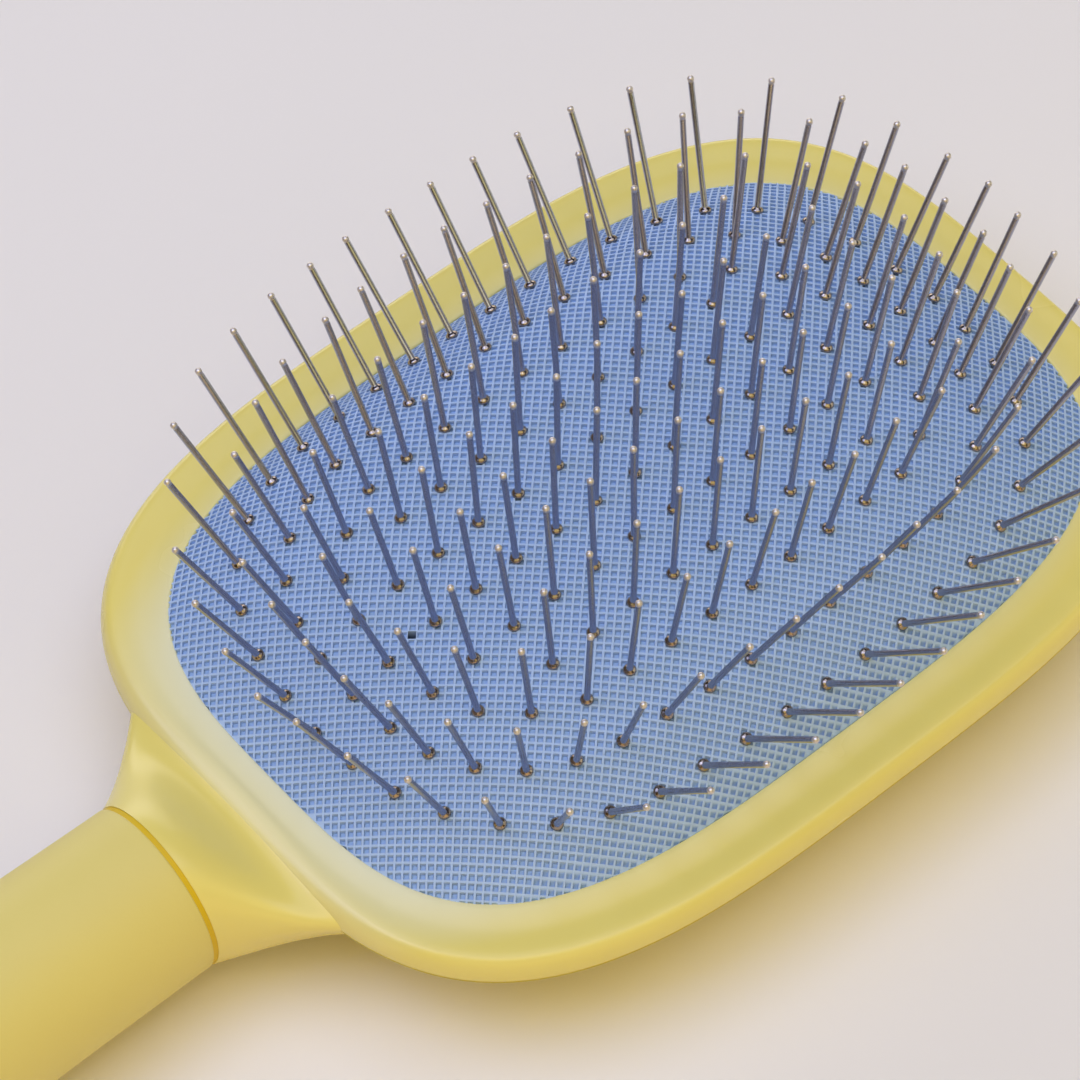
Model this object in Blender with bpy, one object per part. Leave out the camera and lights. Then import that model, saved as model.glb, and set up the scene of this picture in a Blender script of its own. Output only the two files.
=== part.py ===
"""Hair grooming brush: a cushioned paddle head with metal pins on a round handle.

The brush lies on its back with its pins up. +X runs from the handle to the tip of the head,
+Z points up, and the origin is under the middle of the whole brush, on the table.
The head is built about its own centre, in the plane of the cushion's edge.
"""

import math

import bmesh
import bpy
from mathutils import Vector

MM = 0.001

# Clearances
GAP = 0.3 * MM                    # between pieces that rest on or fit in each other
OVERRUN = 4.0 * MM                # how far a cutter reaches past what it cuts

# Outline of the head, seen from above
CUSHION_LENGTH = 115.0 * MM
CUSHION_WIDTH = 78.6 * MM
CUSHION_SQUARENESS = 3.5          # superellipse exponent of the cushion's edge
RIM_AT_ENDS = 7.55 * MM           # width of the frame round the cushion
RIM_AT_SIDES = 8.7 * MM
HEAD_SQUARENESS = 3.35

# Heights, from the plane of the cushion's edge
CUSHION_ABOVE_AXIS = 5.65 * MM    # the handle's axis lies this far below that plane
PARTING_DROP = 3.2 * MM           # joint between front frame and back shell
LIP_THICKNESS = 1.6 * MM          # the frame's inner lip over the cushion's flange
FLANGE_THICKNESS = 1.7 * MM
FLANGE_REACH = 3.0 * MM
CARRIER_THICKNESS = 3.0 * MM
CARRIER_REACH_IN = 1.0 * MM

# Front frame, from the cushion's edge (share 0) to the head's outline (share 1)
CREST_HEIGHT = 0.1 * MM
BAND_HOLLOW = 0.35 * MM           # how far the band inside the crest dips
RIM_CROWN_SHARES = ((0.40, 0.0), (0.70, 0.75), (0.82, 1.0))
RIM_FALL_SHARES = ((0.91, 0.16), (0.975, 0.45), (1.0, 1.0))

# Back shell
SHELL_WALL = 2.0 * MM
LEDGE_WIDTH = 2.0 * MM
FLOOR_THICKNESS = 2.6 * MM
BOWL_SHARES = (
    (1.0, 0.0), (0.992, 0.12), (0.955, 0.38), (0.88, 0.66), (0.78, 0.87), (0.68, 0.975), (0.61, 1.0),
)
CAVITY_SHARES = ((0.975, 0.30), (0.90, 0.68), (0.81, 0.93), (0.70, 1.0))

# Neck, from the joint with the handle (share 0) to its root in the shell (share 1)
NECK_RADIUS = 11.45 * MM
NECK_LENGTH = 10.25 * MM          # from the joint to the head's outline
NECK_ROOT_DEPTH = 8.0 * MM        # how far it runs on into the shell
NECK_ROOT_HALF_WIDTH = 25.6 * MM
NECK_ROOT_TOP_DROP = 3.3 * MM     # top and bottom of the root below the cushion's edge
NECK_ROOT_BOTTOM_DROP = 11.5 * MM
# along, widening, height of the top, depth of the bottom, squareness
NECK_SHARES = (
    (0.00, 0.00, 1.000, 1.00, 2.00),
    (0.09, 0.06, 0.965, 0.99, 2.00),
    (0.20, 0.17, 0.825, 0.92, 2.05),
    (0.31, 0.28, 0.570, 0.80, 2.15),
    (0.41, 0.39, 0.320, 0.67, 2.30),
    (0.52, 0.51, 0.190, 0.51, 2.40),
    (0.64, 0.66, 0.130, 0.34, 2.50),
    (0.83, 0.87, 0.060, 0.12, 2.60),
    (1.00, 1.00, 0.000, 0.00, 2.60),
)

# Handle, from the joint to its rounded end
HANDLE_LENGTH = 107.0 * MM
HANDLE_MAX_RADIUS = 13.1 * MM
HANDLE_CAP_LENGTH = 10.0 * MM
HANDLE_CAP_END_RADIUS = 5.0 * MM
# along the sleeve, and swelling from the neck's radius to the largest one
SLEEVE_SHARES = (
    (0.04, 0.01), (0.22, 0.15), (0.42, 0.38), (0.62, 0.72), (0.80, 0.97), (0.90, 1.0), (1.0, 0.90),
)
CAP_SHARES = ((0.0, 1.0), (0.28, 0.93), (0.55, 0.78), (0.80, 0.52), (0.94, 0.24), (1.0, 0.0))
SLEEVE_WALL = 3.0 * MM
LINER_WALL = 1.9 * MM
SPIGOT_LENGTH = 30.0 * MM
CAP_PLUG_LENGTH = 8.0 * MM
EDGE_BREAK = 0.5 * MM             # rounding of the sleeve's mouth

# Ring in the groove between neck and handle
JOINT_RING_THICKNESS = 0.6 * MM
JOINT_RING_RECESS = 0.5 * MM
JOINT_RING_WALL = 3.6 * MM

# Cushion
CUSHION_CROWN = 10.6 * MM
CUSHION_SHOULDER = 4.2            # exponent: how late the crown falls away to the edge
CROWN_END_LOSS_SHARE = 0.32       # how much lower the crown gets towards the ends
CUSHION_THICKNESS = 2.0 * MM
SKIRT_AT_SIDES = 2.0 * MM         # fixed border outside the outermost pins
SKIRT_AT_ENDS = 3.4 * MM
SKIRT_FOOT = 1.6 * MM
SKIRT_SHOULDER_SHARE = 0.55       # where the skirt's top bends, from the slice to the edge
VENT_RADIUS = 0.6 * MM
VENT_RING = 3                     # the breathing hole goes through this ring's slice
VENT_COLUMN_SHARE = 1.62          # its place, in columns beyond the straight rows

# Pins: a middle row and five rings round it
MARGIN_AT_ENDS = 6.3 * MM         # from the cushion's edge to the outermost pins
MARGIN_AT_SIDES = 3.6 * MM
MIDDLE_ROW_REACH = 3              # columns each side of the middle, in the middle row
ROW_REACH = 4                     # the same in the straight rows of the rings
RING_COUNT = 5
CORNER_PINS = {3: 2, 4: 4, 5: 5}
CORNER_RISE = 1.09                # exponent: above 1 the corner pins stand closer to the ends
# how far the corner pins reach along and across, of the way to a square corner
CORNER_SHARES = {3: (0.95, 0.90), 4: (0.99, 0.965), 5: (0.99, 0.975)}
ROW_BOW_SHARES = {3: 0.126, 4: 0.21, 5: 0.21}
OUTER_ROW_INSET_SHARE = 0.07
# the three pins at each end: stretch of the middle one, bow and pinch of the other two
END_SHARES = {3: (0.16, 0.17, 0.02), 4: (0.02, 0.04, 0.07), 5: (-0.03, 0.09, 0.10)}
SLICE_SHARE = 0.4                 # where a slice ends, in pitches outside its ring of pins
# squareness of each slice's outline, as a share of the cushion's own
SLICE_SQUARENESS_SHARES = (1.15, 1.70, 1.30, 0.89, 0.86, 0.89)
PIN_LENGTH = 18.9 * MM            # from the cushion's surface to the tip
PIN_RADIUS = 0.42 * MM
COLLAR_RADIUS = 0.8 * MM
COLLAR_HEIGHT = 0.7 * MM
COLLAR_SHOULDER = 0.5 * MM
PIN_FOOT = 1.0 * MM               # length rooted in the rubber
PIN_LEAN_SHARE = 1.09             # lean over the slope of the cushion

# Facets
HEAD_FACETS = 48
CUSHION_FACETS = 36
NECK_FACETS = 32
HANDLE_FACETS = 36
VENT_FACETS = 8
PIN_SIDES = 4
SMOOTH_ANGLE = 40.0               # degrees; sharper edges stay sharp

# Sizes that follow from the ones above
CUSHION_HALF = (CUSHION_LENGTH / 2, CUSHION_WIDTH / 2)
HEAD_HALF = (CUSHION_HALF[0] + RIM_AT_ENDS, CUSHION_HALF[1] + RIM_AT_SIDES)
SKIRT_HALF = (CUSHION_HALF[0] - SKIRT_AT_ENDS, CUSHION_HALF[1] - SKIRT_AT_SIDES)
COLUMN_PITCH = (CUSHION_HALF[0] - MARGIN_AT_ENDS) / (ROW_REACH + RING_COUNT - 1)
ROW_PITCH = (CUSHION_HALF[1] - MARGIN_AT_SIDES) / RING_COUNT
VENT_FROM_CENTRE = (ROW_REACH + VENT_COLUMN_SHARE) * COLUMN_PITCH
CUSHION_HEIGHT = HANDLE_MAX_RADIUS + CUSHION_ABOVE_AXIS
BOWL_DEPTH = CUSHION_HEIGHT - PARTING_DROP
FLANGE_TOP = -LIP_THICKNESS - GAP
FLANGE_BOTTOM = FLANGE_TOP - FLANGE_THICKNESS
CARRIER_TOP = FLANGE_BOTTOM - GAP
CARRIER_BOTTOM = CARRIER_TOP - CARRIER_THICKNESS
LEDGE_LEVEL = CARRIER_BOTTOM - GAP
JOINT_WIDTH = JOINT_RING_THICKNESS + 2 * GAP
NECK_REACH = HEAD_HALF[0] + NECK_LENGTH
OVERALL_LENGTH = 2 * HEAD_HALF[0] + NECK_LENGTH + JOINT_WIDTH + HANDLE_LENGTH
HEAD_CENTRE_X = OVERALL_LENGTH / 2 - HEAD_HALF[0]
JOINT_X = HEAD_CENTRE_X - NECK_REACH
SLEEVE_LENGTH = HANDLE_LENGTH - HANDLE_CAP_LENGTH - GAP
SLEEVE_BORE = NECK_RADIUS - SLEEVE_WALL
LINER_RADIUS = SLEEVE_BORE - GAP
LINER_BORE = LINER_RADIUS - LINER_WALL
SPIGOT_RADIUS = LINER_BORE - GAP


def clear_scene():
    for thing in list(bpy.data.objects):
        bpy.data.objects.remove(thing, do_unlink=True)


def make_material(name, color, roughness, metallic=0.0):
    material = bpy.data.materials.new(name)
    material.use_nodes = True
    shader = material.node_tree.nodes["Principled BSDF"]
    shader.inputs["Base Color"].default_value = (*color, 1.0)
    shader.inputs["Roughness"].default_value = roughness
    shader.inputs["Metallic"].default_value = metallic
    material.diffuse_color = (*color, 1.0)
    return material


def blend(a, b, share):
    return a + (b - a) * share


def superellipse(half, squareness, facets, grow=0.0):
    """Points of an outline about the origin, half[0] by half[1], grown outwards all round."""
    points = []
    for step in range(facets):
        angle = 2 * math.pi * step / facets
        c, s = math.cos(angle), math.sin(angle)
        x = math.copysign(abs(c) ** (2 / squareness), c) * (half[0] + grow)
        y = math.copysign(abs(s) ** (2 / squareness), s) * (half[1] + grow)
        points.append((x, y))
    return points


def level(points, z):
    return [Vector((x, y, z)) for x, y in points]


def between(inner, outer, share):
    return [(blend(a[0], b[0], share), blend(a[1], b[1], share)) for a, b in zip(inner, outer)]


def add_object(name, bm, material, parent=None):
    bmesh.ops.recalc_face_normals(bm, faces=bm.faces)
    mesh = bpy.data.meshes.new(name)
    bm.to_mesh(mesh)
    bm.free()
    mesh.shade_smooth()
    mesh.set_sharp_from_angle(angle=math.radians(SMOOTH_ANGLE))
    thing = bpy.data.objects.new(name, mesh)
    bpy.context.scene.collection.objects.link(thing)
    if material is not None:
        mesh.materials.append(material)
    if parent is not None:
        thing.parent = parent
    return thing


def bridge(bm, loops, closed):
    """Triangles between each loop of vertices and the next, and from the last to the first if closed."""
    last = len(loops) if closed else len(loops) - 1
    for n in range(last):
        lower, upper = loops[n], loops[(n + 1) % len(loops)]
        for k in range(len(lower)):
            following = (k + 1) % len(lower)
            bm.faces.new((lower[k], lower[following], upper[following]))
            bm.faces.new((lower[k], upper[following], upper[k]))


def ring_solid(name, loops, material, parent):
    """A closed band: its section is the polygon that the loops pass through."""
    bm = bmesh.new()
    rings = [[bm.verts.new(p) for p in loop] for loop in loops]
    bridge(bm, rings, True)
    return add_object(name, bm, material, parent)


def lofted_solid(name, loops, material, parent):
    """A closed solid through the loops, with a flat face over the first and the last."""
    bm = bmesh.new()
    rings = [[bm.verts.new(p) for p in loop] for loop in loops]
    bridge(bm, rings, False)
    bm.faces.new(rings[0])
    bm.faces.new(rings[-1])
    return add_object(name, bm, material, parent)


def turned_loop(radius, along, facets=HANDLE_FACETS):
    """A circle round the handle's axis; along runs from the joint towards the handle's end."""
    angles = [2 * math.pi * k / facets for k in range(facets)]
    return [Vector((radius * math.cos(a), radius * math.sin(a), along)) for a in angles]


def combine(target, tool, operation):
    """Join or cut target with tool, which stays as a guide and is not part of the brush."""
    modifier = target.modifiers.new(operation.lower() + "_" + tool.name, "BOOLEAN")
    modifier.operation = operation
    modifier.solver = "EXACT"
    modifier.object = tool
    tool.hide_render = True
    tool.display_type = "WIRE"


def crown(x, y):
    """Height of the cushion's surface over its edge."""
    across = abs(y) / CUSHION_HALF[1]
    along = abs(x) / CUSHION_HALF[0]
    reach = (along ** CUSHION_SQUARENESS + across ** CUSHION_SQUARENESS) ** (1 / CUSHION_SQUARENESS)
    lift = 1 - min(reach, 1.0) ** CUSHION_SHOULDER
    return CUSHION_CROWN * lift * (1 - CROWN_END_LOSS_SHARE * along ** 2)


def lean_direction(x, y):
    """Unit vector along a pin that stands at (x, y), leaning out with the cushion's slope."""
    step = PIN_RADIUS
    slope_x = (crown(x + step, y) - crown(x - step, y)) / (2 * step)
    slope_y = (crown(x, y + step) - crown(x, y - step)) / (2 * step)
    steepness = math.hypot(slope_x, slope_y)
    if steepness == 0:
        return Vector((0, 0, 1))
    angle = PIN_LEAN_SHARE * math.atan(steepness)
    out = Vector((-slope_x / steepness, -slope_y / steepness, 0))
    return out * math.sin(angle) + Vector((0, 0, 1)) * math.cos(angle)


def pin_places(ring):
    """Where the pins of a ring stand; ring 0 is the middle row."""
    if ring == 0:
        return [(i * COLUMN_PITCH, 0.0) for i in range(-MIDDLE_ROW_REACH, MIDDLE_ROW_REACH + 1)]
    inset = OUTER_ROW_INSET_SHARE * ROW_PITCH if ring == RING_COUNT else 0.0
    row_bow = ROW_BOW_SHARES.get(ring, 0.0) * ROW_PITCH
    row_y = ring * ROW_PITCH - inset
    stretch, bow, pinch = END_SHARES.get(ring, (0.0, 0.0, 0.0))
    end_x = (ROW_REACH + ring - 1 + stretch) * COLUMN_PITCH
    end_bow = bow * COLUMN_PITCH
    places = []
    for side in (-1, 1):
        for i in range(-ROW_REACH, ROW_REACH + 1):
            places.append((i * COLUMN_PITCH, side * (row_y - row_bow * (i / ROW_REACH) ** 2)))
        for j in (-1, 0, 1) if ring > 1 else (0,):
            places.append((side * (end_x - end_bow * abs(j)), j * ROW_PITCH * (1 - pinch)))
    corners = CORNER_PINS.get(ring, 0)
    for n in range(1, corners + 1):
        angle = math.radians(90) * n / (corners + 1)
        along, across = CORNER_SHARES[ring]
        rise = math.sin(angle) ** CORNER_RISE
        row_end = ROW_REACH * COLUMN_PITCH
        x = row_end + along * math.cos(angle) * (end_x - end_bow - row_end)
        y = ROW_PITCH + across * rise * (row_y - row_bow - ROW_PITCH)
        places += [(x, y), (-x, y), (x, -y), (-x, -y)]
    return places


def band_edge(ring, grow):
    """Outline between the slices of the cushion: outside the given ring of pins."""
    if ring == RING_COUNT:
        half = SKIRT_HALF
    else:
        columns = ROW_REACH + ring - 1 + SLICE_SHARE
        half = (columns * COLUMN_PITCH, (ring + SLICE_SHARE) * ROW_PITCH)
    squareness = CUSHION_SQUARENESS * SLICE_SQUARENESS_SHARES[ring]
    return superellipse(half, squareness, CUSHION_FACETS, grow)


def on_crown(points, drop=0.0):
    return [Vector((x, y, crown(x, y) - drop)) for x, y in points]


def pins_tool(ring, head):
    """All pins of a ring, each a four-sided shaft on a thicker collar."""
    bm = bmesh.new()
    for x, y in pin_places(ring):
        up = lean_direction(x, y)
        side = up.cross(Vector((0, 1, 0))).normalized()
        other = up.cross(side)
        root = Vector((x, y, crown(x, y)))
        stations = (
            (-PIN_FOOT, COLLAR_RADIUS),
            (COLLAR_HEIGHT, COLLAR_RADIUS),
            (COLLAR_HEIGHT + COLLAR_SHOULDER, PIN_RADIUS),
            (PIN_LENGTH, PIN_RADIUS),
        )
        loops = []
        for along, radius in stations:
            loop = []
            for k in range(PIN_SIDES):
                angle = math.pi * (2 * k + 1) / PIN_SIDES
                across = side * math.cos(angle) + other * math.sin(angle)
                loop.append(bm.verts.new(root + up * along + across * radius))
            loops.append(loop)
        bridge(bm, loops, False)
        bm.faces.new(loops[0])
        bm.faces.new(loops[-1])
    return add_object("pins_of_ring_%d" % ring, bm, None, head)


def cushion_slice(ring, rubber, head):
    """One slice of the cushion with its ring of pins rooted in it."""
    name = "pin_row_middle" if ring == 0 else "pin_ring_%d" % ring
    outer = band_edge(ring, -GAP / 2)
    if ring == 0:
        bm = bmesh.new()
        inner = [(x / 2, y / 2) for x, y in outer]
        centre_top = bm.verts.new(Vector((0, 0, crown(0, 0))))
        centre_bottom = bm.verts.new(Vector((0, 0, crown(0, 0) - CUSHION_THICKNESS)))
        loops = [on_crown(inner), on_crown(outer), on_crown(outer, CUSHION_THICKNESS)]
        rings = [[bm.verts.new(p) for p in loop] for loop in loops]
        bridge(bm, rings, False)
        for k in range(len(outer)):
            following = (k + 1) % len(outer)
            bm.faces.new((centre_top, rings[0][following], rings[0][k]))
            bm.faces.new((centre_bottom, rings[-1][k], rings[-1][following]))
        slice_ = add_object(name, bm, rubber, head)
    else:
        inner = band_edge(ring - 1, GAP / 2)
        middle = between(inner, outer, 0.5)
        loops = [on_crown(inner), on_crown(middle), on_crown(outer)]
        loops += [on_crown(outer, CUSHION_THICKNESS), on_crown(inner, CUSHION_THICKNESS)]
        slice_ = ring_solid(name, loops, rubber, head)
    combine(slice_, pins_tool(ring, head), "UNION")
    if ring == VENT_RING:
        combine(slice_, vent_tool(head), "DIFFERENCE")
    return slice_


def vent_tool(head):
    """The cushion's breathing hole, a bare cylinder between two rings of pins."""
    z = crown(VENT_FROM_CENTRE, 0)
    angles = [math.pi * (2 * k + 1) / VENT_FACETS for k in range(VENT_FACETS)]
    circle = [(VENT_RADIUS * math.cos(a) - VENT_FROM_CENTRE, VENT_RADIUS * math.sin(a)) for a in angles]
    loops = [level(circle, z - OVERRUN), level(circle, z + OVERRUN)]
    return lofted_solid("vent_cutter", loops, None, head)


def cushion_skirt(rubber, head):
    """The cushion's fixed border: its steep edge and the flange that the frame clamps."""
    edge = superellipse(CUSHION_HALF, CUSHION_SQUARENESS, CUSHION_FACETS)
    flange = superellipse(CUSHION_HALF, CUSHION_SQUARENESS, CUSHION_FACETS, FLANGE_REACH)
    foot = superellipse(CUSHION_HALF, CUSHION_SQUARENESS, CUSHION_FACETS, -SKIRT_FOOT)
    top = band_edge(RING_COUNT, GAP / 2)
    loops = [
        on_crown(top),
        on_crown(between(top, edge, SKIRT_SHOULDER_SHARE)),
        level(edge, 0.0),
        level(edge, FLANGE_TOP),
        level(flange, FLANGE_TOP),
        level(flange, FLANGE_BOTTOM),
        level(foot, FLANGE_BOTTOM),
        on_crown(top, CUSHION_THICKNESS),
    ]
    return ring_solid("cushion_skirt", loops, rubber, head)


def pad_carrier(plastic, head):
    """Flat ring on the shell's ledge that holds the cushion's flange up against the frame."""
    outer = superellipse(HEAD_HALF, HEAD_SQUARENESS, HEAD_FACETS, -SHELL_WALL - GAP)
    inner = superellipse(CUSHION_HALF, CUSHION_SQUARENESS, HEAD_FACETS, -CARRIER_REACH_IN)
    loops = [
        level(inner, CARRIER_TOP),
        level(outer, CARRIER_TOP),
        level(outer, CARRIER_BOTTOM),
        level(inner, CARRIER_BOTTOM),
    ]
    return ring_solid("pad_carrier", loops, plastic, head)


def rim_levels():
    """The frame's outer surface, as (share of the rim's width, height)."""
    dip = -BAND_HOLLOW
    levels = [(share, blend(dip, CREST_HEIGHT, rise)) for share, rise in RIM_CROWN_SHARES]
    levels += [(share, blend(CREST_HEIGHT, GAP - PARTING_DROP, fall)) for share, fall in RIM_FALL_SHARES]
    return levels


def rim_frame(plastic, head):
    lip = superellipse(CUSHION_HALF, CUSHION_SQUARENESS, HEAD_FACETS, GAP)
    outline = superellipse(HEAD_HALF, HEAD_SQUARENESS, HEAD_FACETS)
    inside = superellipse(HEAD_HALF, HEAD_SQUARENESS, HEAD_FACETS, -SHELL_WALL)
    loops = [level(lip, -LIP_THICKNESS), level(lip, 0.0)]
    loops += [level(between(lip, outline, share), z) for share, z in rim_levels()]
    loops += [level(inside, GAP - PARTING_DROP), level(inside, -LIP_THICKNESS)]
    return ring_solid("rim_frame", loops, plastic, head)


def bowl_loops():
    loops = []
    for share, depth in BOWL_SHARES:
        half = (HEAD_HALF[0] * share, HEAD_HALF[1] * share)
        z = -PARTING_DROP - BOWL_DEPTH * depth
        loops.append(level(superellipse(half, HEAD_SQUARENESS, HEAD_FACETS), z))
    return loops


def cavity_loops():
    recess = (HEAD_HALF[0] - SHELL_WALL, HEAD_HALF[1] - SHELL_WALL)
    ledge = (recess[0] - LEDGE_WIDTH, recess[1] - LEDGE_WIDTH)
    floor_level = -CUSHION_HEIGHT + FLOOR_THICKNESS
    outline = superellipse(recess, HEAD_SQUARENESS, HEAD_FACETS)
    loops = [
        level(outline, OVERRUN),
        level(outline, LEDGE_LEVEL),
        level(superellipse(ledge, HEAD_SQUARENESS, HEAD_FACETS), LEDGE_LEVEL),
    ]
    for share, depth in CAVITY_SHARES:
        half = (ledge[0] * share, ledge[1] * share)
        z = blend(LEDGE_LEVEL, floor_level, depth)
        loops.append(level(superellipse(half, HEAD_SQUARENESS, HEAD_FACETS), z))
    return loops


def neck_loops():
    length = NECK_LENGTH + NECK_ROOT_DEPTH
    joint_top = NECK_RADIUS - CUSHION_ABOVE_AXIS
    joint_bottom = -NECK_RADIUS - CUSHION_ABOVE_AXIS
    loops = []
    for along, widening, top, bottom, squareness in NECK_SHARES:
        x = -NECK_REACH + along * length
        half_width = blend(NECK_RADIUS, NECK_ROOT_HALF_WIDTH, widening)
        high = blend(-NECK_ROOT_TOP_DROP, joint_top, top)
        low = blend(-NECK_ROOT_BOTTOM_DROP, joint_bottom, bottom)
        section = superellipse((half_width, (high - low) / 2), squareness, NECK_FACETS)
        loops.append([Vector((x, y, z + (high + low) / 2)) for y, z in section])
    return loops


def rim_room_loops():
    """The space that the frame takes above the shell, with its running clearance."""
    lip = superellipse(CUSHION_HALF, CUSHION_SQUARENESS, HEAD_FACETS, GAP)
    outline = superellipse(HEAD_HALF, HEAD_SQUARENESS, HEAD_FACETS, GAP)
    outer_levels = rim_levels()[len(RIM_CROWN_SHARES):]
    loops = [level(outline, -PARTING_DROP)]
    loops += [level(between(lip, outline, share), z + GAP) for share, z in reversed(outer_levels)]
    crest_share = RIM_CROWN_SHARES[-1][0]
    loops.append(level(between(lip, outline, crest_share), CREST_HEIGHT + GAP))
    loops.append(level(between(lip, outline, crest_share), CREST_HEIGHT + OVERRUN))
    return loops


def back_shell(plastic, head):
    """Bowl behind the cushion, neck and the spigot that the handle slides on, in one moulding."""
    shell = lofted_solid("back_shell", bowl_loops(), plastic, head)
    combine(shell, lofted_solid("neck_form", neck_loops(), None, head), "UNION")
    circle = superellipse((SPIGOT_RADIUS, SPIGOT_RADIUS), 2.0, NECK_FACETS)
    ends = (-NECK_REACH + OVERRUN, -NECK_REACH - SPIGOT_LENGTH)
    spigot = [[Vector((x, y, z - CUSHION_ABOVE_AXIS)) for y, z in circle] for x in ends]
    combine(shell, lofted_solid("spigot_form", spigot, None, head), "UNION")
    combine(shell, lofted_solid("rim_room", rim_room_loops(), None, head), "DIFFERENCE")
    combine(shell, lofted_solid("cavity_form", cavity_loops(), None, head), "DIFFERENCE")
    return shell


def joint_ring(plastic, handle):
    outer = NECK_RADIUS - JOINT_RING_RECESS
    bore = outer - JOINT_RING_WALL
    start, end = GAP, GAP + JOINT_RING_THICKNESS
    corners = ((bore, start), (outer, start), (outer, end), (bore, end))
    loops = [turned_loop(radius, along) for radius, along in corners]
    return ring_solid("joint_ring", loops, plastic, handle)


def sleeve_radius(swelling):
    return blend(NECK_RADIUS, HANDLE_MAX_RADIUS, swelling)


def handle_sleeve(grip, handle):
    loops = [turned_loop(SLEEVE_BORE, JOINT_WIDTH), turned_loop(NECK_RADIUS - EDGE_BREAK, JOINT_WIDTH)]
    loops.append(turned_loop(NECK_RADIUS, JOINT_WIDTH + EDGE_BREAK))
    for along, swelling in SLEEVE_SHARES:
        loops.append(turned_loop(sleeve_radius(swelling), JOINT_WIDTH + along * SLEEVE_LENGTH))
    loops.append(turned_loop(SLEEVE_BORE, JOINT_WIDTH + SLEEVE_LENGTH))
    return ring_solid("handle_sleeve", loops, grip, handle)


def handle_liner(plastic, handle):
    start, end = JOINT_WIDTH, JOINT_WIDTH + SLEEVE_LENGTH
    loops = [
        turned_loop(LINER_BORE, start),
        turned_loop(LINER_RADIUS, start),
        turned_loop(LINER_RADIUS, end),
        turned_loop(LINER_BORE, end),
    ]
    return ring_solid("handle_liner", loops, plastic, handle)


def end_cap(grip, handle):
    start = JOINT_WIDTH + SLEEVE_LENGTH + GAP
    rim = sleeve_radius(SLEEVE_SHARES[-1][1])
    loops = [turned_loop(SPIGOT_RADIUS, start - GAP - CAP_PLUG_LENGTH), turned_loop(SPIGOT_RADIUS, start)]
    for along, size in CAP_SHARES:
        radius = blend(HANDLE_CAP_END_RADIUS, rim, size)
        loops.append(turned_loop(radius, start + along * HANDLE_CAP_LENGTH))
    return lofted_solid("end_cap", loops, grip, handle)


def main():
    clear_scene()
    yellow = make_material("yellow_gloss_plastic", (0.80, 0.69, 0.24), 0.30)
    grip = make_material("yellow_matte_grip", (0.78, 0.66, 0.22), 0.55)
    seam = make_material("deep_yellow_ring", (0.62, 0.45, 0.01), 0.45)
    white = make_material("white_inner_plastic", (0.80, 0.80, 0.78), 0.50)
    rubber = make_material("blue_cushion_rubber", (0.27, 0.39, 0.66), 0.60)

    head = bpy.data.objects.new("head_frame", None)
    head.location = (HEAD_CENTRE_X, 0.0, CUSHION_HEIGHT)
    handle = bpy.data.objects.new("handle_frame", None)
    handle.location = (JOINT_X, 0.0, HANDLE_MAX_RADIUS)
    handle.rotation_euler = (0.0, math.radians(-90), 0.0)
    for empty in (head, handle):
        bpy.context.scene.collection.objects.link(empty)

    rim_frame(yellow, head)
    back_shell(yellow, head)
    pad_carrier(white, head)
    cushion_skirt(rubber, head)
    for ring in range(RING_COUNT + 1):
        cushion_slice(ring, rubber, head)
    joint_ring(seam, handle)
    handle_sleeve(grip, handle)
    handle_liner(white, handle)
    end_cap(grip, handle)


main()
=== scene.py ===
"""Looks of a cushioned paddle hair brush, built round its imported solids.

The brush lies on its back with its pins up. +X runs from the handle to the tip of the head.
Lengths are in metres. The head's shapes are worked out about its centre, in the plane of the
cushion's edge, and the handle's about its axis.
"""

import math
import random

import bmesh
import bpy
import numpy as np
from bpy.props import FloatProperty, FloatVectorProperty, IntProperty, PointerProperty
from bpy.types import Operator, Panel, PropertyGroup
from mathutils import Matrix, Vector


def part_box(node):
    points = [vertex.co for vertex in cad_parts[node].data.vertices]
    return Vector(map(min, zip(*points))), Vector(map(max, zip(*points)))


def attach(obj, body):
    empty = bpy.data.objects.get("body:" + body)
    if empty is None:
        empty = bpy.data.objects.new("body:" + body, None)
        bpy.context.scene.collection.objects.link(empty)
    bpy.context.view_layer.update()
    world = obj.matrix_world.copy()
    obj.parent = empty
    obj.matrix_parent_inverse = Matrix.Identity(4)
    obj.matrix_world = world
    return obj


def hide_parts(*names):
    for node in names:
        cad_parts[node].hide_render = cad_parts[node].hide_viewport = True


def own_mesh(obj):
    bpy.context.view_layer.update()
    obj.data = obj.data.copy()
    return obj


bl_info = {
    "name": "Paddle Hair Brush",
    "version": (1, 0, 0),
    "blender": (4, 5, 0),
    "location": "View3D > Sidebar > Hair Brush",
    "description": "Builds the fine surfaces and finishes of a cushioned hair brush",
    "category": "Object",
}

MM = 0.001

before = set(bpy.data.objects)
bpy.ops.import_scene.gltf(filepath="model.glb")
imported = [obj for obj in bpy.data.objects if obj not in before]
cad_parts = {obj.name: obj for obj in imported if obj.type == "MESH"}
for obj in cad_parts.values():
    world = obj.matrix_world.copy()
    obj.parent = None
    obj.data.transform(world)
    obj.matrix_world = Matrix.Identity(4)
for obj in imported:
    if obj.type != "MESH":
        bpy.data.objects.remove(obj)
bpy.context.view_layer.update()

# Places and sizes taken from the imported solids
RIM_LOW, RIM_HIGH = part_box("rim_frame")
SKIRT_LOW, SKIRT_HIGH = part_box("cushion_skirt")
RING_LOW, RING_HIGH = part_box("joint_ring")
SLEEVE_LOW, SLEEVE_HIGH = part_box("handle_sleeve")
CAP_LOW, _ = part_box("end_cap")
GAP = 0.3 * MM  # fit between two pieces
RIM_CREST = 0.1 * MM  # the rim's highest line above the cushion's edge
FLANGE_REACH = 3.0 * MM  # the cushion's flange hidden under the rim
HEAD_X = (RIM_LOW.x + RIM_HIGH.x) / 2
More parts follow.
